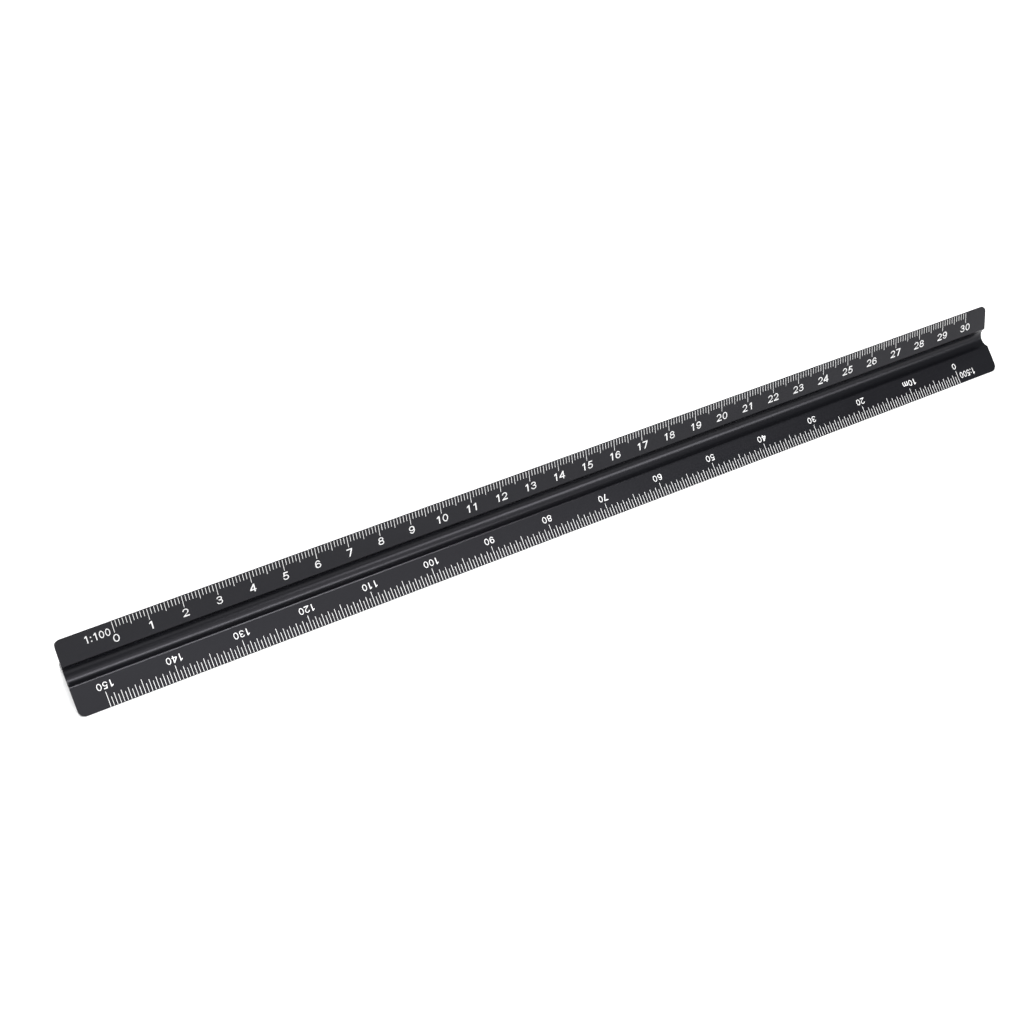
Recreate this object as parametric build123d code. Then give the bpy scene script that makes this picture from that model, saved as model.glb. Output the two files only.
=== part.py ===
from build123d import *
import math
import os

# Triangular scale ruler. Millimetres. X runs along the ruler, Z is up, and the
# ruler stands on the tips of its two lower blades with the third blade upright.

# ---- driving dimensions ----
LENGTH = 325.0          # overall length
ZERO_MARGIN = 16.25     # from the end of the ruler to the zero mark of a scale
SCALE_LENGTH = 300.0    # from the zero mark to the last mark
TIP_R = 13.34           # from the core centre to a blade tip
TIP_HALF = 0.15         # half thickness of a blade at its tip
LIP_R = 4.6             # from the core centre to the foot of a scale face
LIP_HALF = 2.0          # half thickness of a blade there
CHANNEL_BOTTOM = 1.6    # from the core centre to the bottom of a finger channel
LIP_FLAT = 0.20         # narrow flat where a scale face meets a channel
TIP_BREAK = 0.06        # rounding along a blade tip
CORNER_R = 2.2          # rounding of a blade's corners at the ruler's ends

INK = 0.04              # thickness of the white print
TICK_W = 0.15           # width of a graduation
TICK_START = 0.06       # gap from the edge of a scale face to a graduation
DIGIT_H = 2.5           # height the numerals are drawn at
STROKE = 0.28           # their stroke
DIGIT_ADVANCE = 2.16    # from one numeral to the next
NUMERAL_REACH = 2.15    # how far past its graduation a numeral may end
RATIO_END = 0.9         # from the end of the scale ratio to the zero mark
RATIO_NARROW = 0.8      # the scale ratio is set in narrower numerals

# The two styles of print. Lengths run from the shortest graduation to the longest;
# the numerals and the ratio have a size against DIGIT_H and a foot, from the edge.
LARGE = dict(lengths=(2.15, 2.9, 3.8), digit=1.04, digit_foot=6.95, ratio=1.0, ratio_foot=4.2)
SMALL = dict(lengths=(2.7, 3.5, 4.2, 4.5), digit=0.82, digit_foot=7.25, ratio=0.87,
             ratio_foot=3.65)

# Each scale: blade turn in degrees, side (+1 reads along +X), name, style, and its
# marks: step in millimetres, how many steps make each longer mark, then steps per
# numeral, the units per numeral and the numeral that names the unit.
SCALES = [
    dict(turn=0, side=1, ratio="1:100", style=LARGE, step=1.0, every=(5, 10),
         label_steps=10, label_unit=1, named=None),
    dict(turn=120, side=-1, ratio="1:500", style=SMALL, step=1.0, every=(2, 10, 20),
         label_steps=20, label_unit=10, named=10),
    dict(turn=120, side=1, ratio="1:250", style=LARGE, step=2.0, every=(2, 10),
         label_steps=10, label_unit=5, named=5),
    dict(turn=240, side=-1, ratio="1:300", style=SMALL, step=5.0 / 3.0, every=(2, 10),
         label_steps=10, label_unit=5, named=5),
    dict(turn=240, side=1, ratio="1:200", style=LARGE, step=1.0, every=(5, 10),
         label_steps=10, label_unit=2, named=2),
    dict(turn=0, side=-1, ratio="1:400", style=SMALL, step=1.25, every=(2, 10, 20),
         label_steps=20, label_unit=10, named=10),
]


# ---- body ----
def turned(points, degrees):
    a = math.radians(degrees)
    return [(x * math.cos(a) - y * math.sin(a), x * math.sin(a) + y * math.cos(a))
            for x, y in points]


def section():
    """The three-winged section, centred on the core, blades at 90, 210 and 330 degrees."""
    edges, tips, lips = [], [], []
    for k in range(3):
        blade = turned([(LIP_HALF, LIP_R), (TIP_HALF, TIP_R),
                        (-TIP_HALF, TIP_R), (-LIP_HALF, LIP_R)], 120 * k)
        bottom = turned([(CHANNEL_BOTTOM, 0)], 150 + 120 * k)[0]
        next_lip = turned([(LIP_HALF, LIP_R)], 120 * (k + 1))[0]
        edges += [Line(a, b) for a, b in zip(blade, blade[1:])]
        edges.append(ThreePointArc(blade[3], bottom, next_lip))
        tips += blade[1:3]
        lips += [blade[0], blade[3]]
    face = make_face(Curve() + edges)
    for points, soften, amount in ((lips, chamfer, LIP_FLAT), (tips, fillet, TIP_BREAK)):
        near = [v for v in face.vertices()
                if any(math.hypot(v.X - x, v.Y - y) < 1e-3 for x, y in points)]
        face = soften(near, amount)
    return face


def corner_cutters():
    """What the rounded corner of each blade takes off at each end of the ruler."""
    reach = 0.5
    block = Pos(LENGTH / 2 - (CORNER_R - reach) / 2, 0, TIP_R - (CORNER_R - reach) / 2) * Box(
        CORNER_R + reach, 6, CORNER_R + reach)
    round_off = Pos(LENGTH / 2 - CORNER_R, 0, TIP_R - CORNER_R) * Rot(90, 0, 0) * Cylinder(
        CORNER_R, 8)
    right = block - round_off
    pair = [right, mirror(right, about=Plane.YZ)]
    return [Rot(120 * k, 0, 0) * c for k in range(3) for c in pair]


def lift():
    """Height of the core centre above the table."""
    return -section().bounding_box().min.Y


def ruler_body(height):
    face = Plane(origin=(-LENGTH / 2, 0, 0), x_dir=(0, 1, 0), z_dir=(1, 0, 0)) * section()
    solid = extrude(face, LENGTH, dir=(1, 0, 0))
    for cutter in corner_cutters():
        solid = solid - cutter
    return Pos(0, 0, height) * solid.solids()[0]


# ---- numerals, drawn between y = 0 and DIGIT_H, centred on x = 0 ----
def ring(y, rx, ry):
    half = STROKE / 2
    return Pos(0, y) * (Ellipse(rx + half, ry + half) - Ellipse(rx - half, ry - half))


def shape(*points):
    return make_face(Polyline(*points, close=True))


def glyph_0():
    return ring(1.25, 0.7, 1.07)


def glyph_1():
    return shape((0.42, 0), (0.42, 2.5), (0.14, 2.5), (-0.45, 2.08), (-0.45, 1.7), (0.06, 1.98),
                 (0.06, 0))


def glyph_2():
    hook = ring(1.66, 0.68, 0.66) - shape((-1.2, 0.8), (-1.2, 1.72), (-0.1, 1.72), (0.44, 1.2),
                                          (0.1, 0.8))
    leg = shape((0.44, 1.2), (0.76, 1.3), (-0.3, 0.36), (0.9, 0.36), (0.9, 0), (-0.88, 0),
                (-0.88, 0.24))
    return hook + leg


def glyph_3():
    bowls = ring(1.82, 0.62, 0.5) + ring(0.75, 0.7, 0.57)
    return bowls - shape((-1.2, 0.72), (-0.25, 0.72), (-0.25, 1.86), (-1.2, 1.86))


def glyph_4():
    stem = shape((0.22, 0), (0.58, 0), (0.58, 2.5), (0.22, 2.5))
    bar = shape((-0.9, 0.55), (0.92, 0.55), (0.92, 0.88), (-0.9, 0.88))
    slope = shape((-0.9, 0.7), (-0.9, 0.92), (0.22, 2.5), (0.4, 2.5), (0.4, 2.14), (-0.5, 0.88),
                  (-0.5, 0.7))
    return stem + bar + slope


def glyph_5():
    bowl = ring(0.84, 0.7, 0.66) - shape((-1.2, 0.7), (-0.3, 0.7), (-0.3, 1.14), (-1.2, 1.14))
    flag = shape((-0.68, 1.1), (-0.34, 1.24), (-0.2, 2.14), (0.74, 2.14), (0.74, 2.5),
                 (-0.48, 2.5))
    return bowl + flag


def glyph_6():
    hook = glyph_0() - shape((0, -0.1), (0, 1.75), (0.3, 1.82), (1.2, 1.82), (1.2, -0.1))
    return ring(0.82, 0.7, 0.64) + hook


def glyph_7():
    return shape((-0.85, 2.5), (-0.85, 2.14), (0.44, 2.14), (-0.4, 0), (0.0, 0), (0.86, 2.2),
                 (0.86, 2.5))


def glyph_8():
    return ring(1.82, 0.6, 0.5) + ring(0.75, 0.7, 0.57)


def glyph_9():
    return Pos(0, 2.5) * Rot(0, 0, 180) * glyph_6()


def glyph_colon():
    dot = shape((-0.2, 0.1), (0.2, 0.1), (0.2, 0.5), (-0.2, 0.5))
    return dot + Pos(0, 1.3) * dot


def glyph_m():
    arch = ring(1.02, 0.52, 0.68) - shape((-1.2, 0), (1.2, 0), (1.2, 1.1), (-1.2, 1.1))
    leg = shape((-0.18, 0), (0.18, 0), (0.18, 1.12), (-0.18, 1.12))
    stem = shape((-0.18, 0), (0.18, 0), (0.18, 1.84), (-0.18, 1.84))
    return (Pos(-1.04, 0) * stem + Pos(-0.52, 0) * arch + leg + Pos(0.52, 0) * arch
            + Pos(1.04, 0) * leg)


def glyph_solids():
    """Every numeral as a thin layer of print, once each."""
    drawn = {"0": glyph_0, "1": glyph_1, "2": glyph_2, "3": glyph_3, "4": glyph_4,
             "5": glyph_5, "6": glyph_6, "7": glyph_7, "8": glyph_8, "9": glyph_9,
             ":": glyph_colon, "m": glyph_m}
    return {name: extrude(draw(), INK, dir=(0, 0, 1)).solids() for name, draw in drawn.items()}


ADVANCES = {":": 1.0, "m": 2.85}


def advance(letter):
    return ADVANCES.get(letter, DIGIT_ADVANCE)


def text_width(text):
    return sum(advance(letter) for letter in text)


def resized(glyphs, wide, high):
    """The same numerals at another size, with the print as thick as before."""
    return {name: [scale(s, by=(wide, high, 1)) for s in solids]
            for name, solids in glyphs.items()}


def placed_text(glyphs, text, wide, plane, start, foot):
    """Solids of a text that begins at start, with its foot that far from the edge."""
    solids, cursor = [], start
    for letter in text:
        room = wide * advance(letter)
        spot = Location((cursor + room / 2, -foot, 0))
        solids += [s.moved(plane.location * spot) for s in glyphs[letter]]
        cursor += room
    return solids


# ---- scale faces ----
def face_plane(item, height):
    """Plane of a scale face: x reads along the scale, y points to the blade's tip."""
    tip, lip = turned([(-TIP_HALF, TIP_R), (-LIP_HALF, LIP_R)], 0)
    up = Vector(0, tip[0] - lip[0], tip[1] - lip[1]).normalized()
    out = Vector(1, 0, 0).cross(up)
    origin = Vector(0, tip[0], tip[1])
    reading = Vector(1, 0, 0)
    if item["side"] < 0:
        origin, out, reading = Vector(0, -tip[0], tip[1]), Vector(0, -out.Y, out.Z), -reading
    turn = Location((0, 0, 0), (item["turn"], 0, 0))
    plane = Plane(origin=(reading.X * (ZERO_MARGIN - LENGTH / 2), origin.Y, origin.Z),
                  x_dir=reading, z_dir=out)
    return Plane(Location((0, 0, height)) * turn * plane.location)


def graduations(item, plane):
    """The ticks, longer where a larger unit falls."""
    solids = []
    for i in range(round(SCALE_LENGTH / item["step"]) + 1):
        rank = sum(1 for every in item["every"] if i % every == 0)
        length = item["style"]["lengths"][rank] - TICK_START
        tick = Solid.make_box(TICK_W, length, INK)
        spot = Location((i * item["step"] - TICK_W / 2, -TICK_START - length, 0))
        solids.append(tick.moved(plane.location * spot))
    return solids


def numerals(item, plane, glyphs):
    size = item["style"]["digit"]
    sized = resized(glyphs, size, size)
    pitch = item["label_steps"] * item["step"]
    solids = []
    for i in range(math.floor(SCALE_LENGTH / pitch + 1e-6) + 1):
        value = i * item["label_unit"]
        text = str(value) + ("m" if value and value == item["named"] else "")
        width = size * text_width(text)
        start = i * pitch + min(width / 2, NUMERAL_REACH) - width
        solids += placed_text(sized, text, size, plane, start, item["style"]["digit_foot"])
    return solids


def ratio_text(item, plane, glyphs):
    high = item["style"]["ratio"]
    wide = high * RATIO_NARROW
    sized = resized(glyphs, wide, high)
    start = -RATIO_END - wide * text_width(item["ratio"])
    return placed_text(sized, item["ratio"], wide, plane, start, item["style"]["ratio_foot"])


def write(name, shapes):
    node = Compound(children=shapes) if len(shapes) > 1 else shapes[0]
    node.label = name
    export_step(node, "parts/" + name + ".step", write_pcurves=False)
    print(name, len(shapes), "solids", round(node.volume, 3), "mm3")


def main():
    os.makedirs("parts", exist_ok=True)
    height = lift()
    print("core height", round(height, 4))
    write("ruler_body", [ruler_body(height)])
    glyphs = glyph_solids()
    for item in SCALES:
        plane = face_plane(item, height)
        stem = "scale_" + item["ratio"].replace(":", "_")
        write(stem + "_graduations", graduations(item, plane))
        write(stem + "_numerals", numerals(item, plane, glyphs))
        write(stem + "_ratio", ratio_text(item, plane, glyphs))


main()
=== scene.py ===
import bpy
from mathutils import Matrix, Vector


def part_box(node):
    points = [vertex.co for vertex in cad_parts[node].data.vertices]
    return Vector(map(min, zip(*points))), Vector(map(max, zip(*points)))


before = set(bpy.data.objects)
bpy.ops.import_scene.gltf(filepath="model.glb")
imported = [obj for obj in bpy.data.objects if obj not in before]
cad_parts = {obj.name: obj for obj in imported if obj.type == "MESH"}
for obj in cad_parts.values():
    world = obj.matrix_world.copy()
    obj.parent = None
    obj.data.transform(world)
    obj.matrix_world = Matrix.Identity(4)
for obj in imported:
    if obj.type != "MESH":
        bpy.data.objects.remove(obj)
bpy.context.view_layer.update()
scene = bpy.context.scene
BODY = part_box("ruler_body")
FLOOR_Z = BODY[0][2]

# ---- surfaces ----
# Noise, in cycles per metre along X, Y and Z.
DIE_LINES = (9, 7000, 7000)
ETCHED_GRAIN = (9000, 9000, 9000)
DYE_CLOUDS = (18, 60, 60)
INK_PATCHES = (1500, 1500, 1500)
FLOOR_PATCHES = (3, 3, 3)

# The stretch of a noise's values that is spread over a number, and over two colours.
NUMBER_RANGE = (0.3, 0.7)
COLOUR_RANGE = (0.35, 0.65)

# Each pair is for where the noise is low, and for where it is high.
METAL_BLACKS = ((0.0024, 0.0024, 0.0033), (0.0037, 0.0039, 0.0050))
METAL_ROUGHNESS = (0.28, 0.33)
INK_WHITES = ((0.62, 0.62, 0.62), (0.70, 0.70, 0.70))
INK_ROUGHNESS = (0.62, 0.5)
FLOOR_WHITES = ((0.66, 0.66, 0.66), (0.67, 0.67, 0.67))

# Bumps: strength, and height in metres.
LINE_BUMP = (0.025, 0.00001)
GRAIN_BUMP = (0.14, 0.00002)
INK_BUMP = (0.2, 0.00001)

# ---- stage ----
FLOOR_SIZE = 60
SKY_COLOUR = (0.97, 0.98, 1.0, 1)
SKY_FADE = (0.05, 0.35)         # upward part of a direction, where the fade starts and ends
SKY_STRENGTH = (0.42, 0.27)     # below that, and above it

# Softboxes: name, place, the point it faces, size in metres, watts.
SOFTBOXES = [
    ("overhead", (-0.12, -1.05, 1.45), (-0.10, 0, 0), (1.8, 0.9), 9.4),
    ("overhead_strip", (-0.12, -0.31, 1.6), (-0.12, 0, 0), (1.0, 0.27), 19.0),
    ("front_right", (0.62, -1.35, 0.60), (0.05, 0, 0), (0.7, 0.46), 13.4),
    ("back_top", (0.0, 0.50, 1.5), (-0.10, 0, 0), (0.8, 0.22), 24.0),
]

# ---- camera ----
CAMERA_PLACE = (-0.17271, -0.29983, 0.30996)
CAMERA_AHEAD = (0.33225, 0.6619, -0.6718)
CAMERA_UP = (0.3277, 0.5877, 0.7397)
LENS_MM, SENSOR_MM = 51.51, 36
CLIP = (0.01, 100)              # nearest and farthest that it sees, in metres


# ---- shader helpers ----
def set_values(node, values):
    """Set a node's own sockets, each given by its name."""
    for socket, value in values.items():
        node.inputs[socket].default_value = value


def new_material(name):
    """A material that holds only a Principled shader, with its tree and that shader."""
    material = bpy.data.materials.new(name)
    material.use_nodes = True
    tree = material.node_tree
    tree.nodes.clear()
    out = tree.nodes.new("ShaderNodeOutputMaterial")
    shader = tree.nodes.new("ShaderNodeBsdfPrincipled")
    tree.links.new(shader.outputs["BSDF"], out.inputs["Surface"])
    return material, tree, shader


def stretched_noise(tree, per_metre, detail, roughness=0.5):
    """Noise on the surface's own place, with its own scale along X, Y and Z."""
    where = tree.nodes.new("ShaderNodeTexCoord")
    scale = tree.nodes.new("ShaderNodeMapping")
    noise = tree.nodes.new("ShaderNodeTexNoise")
    set_values(scale, {"Scale": per_metre})
    set_values(noise, {"Scale": 1.0, "Detail": detail, "Roughness": roughness})
    tree.links.new(where.outputs["Object"], scale.inputs["Vector"])
    tree.links.new(scale.outputs["Vector"], noise.inputs["Vector"])
    return noise.outputs["Fac"]


def spread(tree, value, start_end, low_high):
    """Map a value from start..end to low..high, and hold it there outside them."""
    mapped = tree.nodes.new("ShaderNodeMapRange")
    set_values(mapped, {"From Min": start_end[0], "From Max": start_end[1],
                        "To Min": low_high[0], "To Max": low_high[1]})
    tree.links.new(value, mapped.inputs["Value"])
    return mapped.outputs["Result"]


def two_colours(tree, noise, colours):
    """Fade from one colour to the other as the noise rises."""
    ramp = tree.nodes.new("ShaderNodeValToRGB")
    for stop, position, colour in zip(ramp.color_ramp.elements, COLOUR_RANGE, colours):
        stop.position = position
        stop.color = (*colour, 1)
    tree.links.new(noise, ramp.inputs["Fac"])
    return ramp.outputs["Color"]


def bump(tree, noise, strength_height, under=None):
    """Raise the surface by the noise, on top of another bump if one is given."""
    strength, height = strength_height
    raised = tree.nodes.new("ShaderNodeBump")
    set_values(raised, {"Strength": strength, "Distance": height})
    tree.links.new(noise, raised.inputs["Height"])
    if under is not None:
        tree.links.new(under, raised.inputs["Normal"])
    return raised.outputs["Normal"]


# ---- materials ----
def black_anodised():
    """Extruded aluminium, etched and anodised black.

    Faint die lines run along X under a fine matte grain. The dyed oxide is what shows, so
    the shader is left non-metallic.
    """
    material, tree, shader = new_material("black_anodised")
    lines = stretched_noise(tree, DIE_LINES, detail=3)
    grain = stretched_noise(tree, ETCHED_GRAIN, detail=4, roughness=0.6)
    clouds = stretched_noise(tree, DYE_CLOUDS, detail=2)
    colour = two_colours(tree, clouds, METAL_BLACKS)
    roughness = spread(tree, lines, NUMBER_RANGE, METAL_ROUGHNESS)
    normal = bump(tree, grain, GRAIN_BUMP, under=bump(tree, lines, LINE_BUMP))
    tree.links.new(colour, shader.inputs["Base Color"])
    tree.links.new(roughness, shader.inputs["Roughness"])
    tree.links.new(normal, shader.inputs["Normal"])
    set_values(shader, {"Specular IOR Level": 0.25, "Specular Tint": (0.92, 0.91, 1.0, 1)})
    return material


def white_print():
    """Matte white ink, slightly uneven where it lies thin on the metal."""
    material, tree, shader = new_material("white_print")
    patches = stretched_noise(tree, INK_PATCHES, detail=3, roughness=0.6)
    colour = two_colours(tree, patches, INK_WHITES)
    roughness = spread(tree, patches, NUMBER_RANGE, INK_ROUGHNESS)
    normal = bump(tree, patches, INK_BUMP)
    tree.links.new(colour, shader.inputs["Base Color"])
    tree.links.new(roughness, shader.inputs["Roughness"])
    tree.links.new(normal, shader.inputs["Normal"])
    set_values(shader, {"Specular IOR Level": 0.3})
    return material


def floor_white():
    """A plain matte floor, barely uneven, with a faint glow that keeps it white."""
    material, tree, shader = new_material("floor_white")
    patches = stretched_noise(tree, FLOOR_PATCHES, detail=2)
    colour = two_colours(tree, patches, FLOOR_WHITES)
    tree.links.new(colour, shader.inputs["Base Color"])
    set_values(shader, {"Roughness": 0.9, "Specular IOR Level": 0.0,
                        "Emission Color": (1, 1, 1, 1), "Emission Strength": 0.20})
    return material


metal, ink = black_anodised(), white_print()
for name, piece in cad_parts.items():
    for slot in piece.material_slots:
        slot.material = metal if name == "ruler_body" else ink


# ---- floor, sky and lights ----
bpy.ops.mesh.primitive_plane_add(size=FLOOR_SIZE, location=(0, 0, FLOOR_Z))
floor = bpy.context.object
floor.name = "floor"
floor.data.materials.append(floor_white())


def studio_world():
    """Pale at the horizon and dimmer higher up, so the black metal stays black."""
    world = bpy.data.worlds.new("studio")
    scene.world = world
    world.use_nodes = True
    tree = world.node_tree
    direction = tree.nodes.new("ShaderNodeTexCoord")
    split = tree.nodes.new("ShaderNodeSeparateXYZ")
    tree.links.new(direction.outputs["Generated"], split.inputs["Vector"])
    strength = spread(tree, split.outputs["Z"], SKY_FADE, SKY_STRENGTH)
    sky = tree.nodes["Background"]
    set_values(sky, {"Color": SKY_COLOUR})
    tree.links.new(strength, sky.inputs["Strength"])


def softbox(name, place, faces, size, watts):
    """A rectangular area light at a place, turned to face a point."""
    light = bpy.data.lights.new(name, "AREA")
    light.shape = "RECTANGLE"
    light.size, light.size_y = size
    light.energy = watts
    box = bpy.data.objects.new(name, light)
    scene.collection.objects.link(box)
    box.location = place
    box.rotation_mode = "QUATERNION"
    box.rotation_quaternion = (Vector(faces) - Vector(place)).to_track_quat("-Z", "Y")


studio_world()
for row in SOFTBOXES:
    softbox(*row)


# ---- camera ----
def looking(place, ahead, up):
    """A camera's matrix at a place, looking ahead, with up made square to that."""
    ahead = Vector(ahead).normalized()
    side = ahead.cross(Vector(up)).normalized()
    turn = Matrix((side, side.cross(ahead), -ahead)).transposed()
    return Matrix.Translation(place) @ turn.to_4x4()


optics = bpy.data.cameras.new("camera")
optics.sensor_width = SENSOR_MM
optics.lens = LENS_MM
optics.clip_start, optics.clip_end = CLIP
camera = bpy.data.objects.new("camera", optics)
scene.collection.objects.link(camera)
camera.matrix_world = looking(CAMERA_PLACE, CAMERA_AHEAD, CAMERA_UP)
scene.camera = camera
scene.view_settings.view_transform = "Standard"
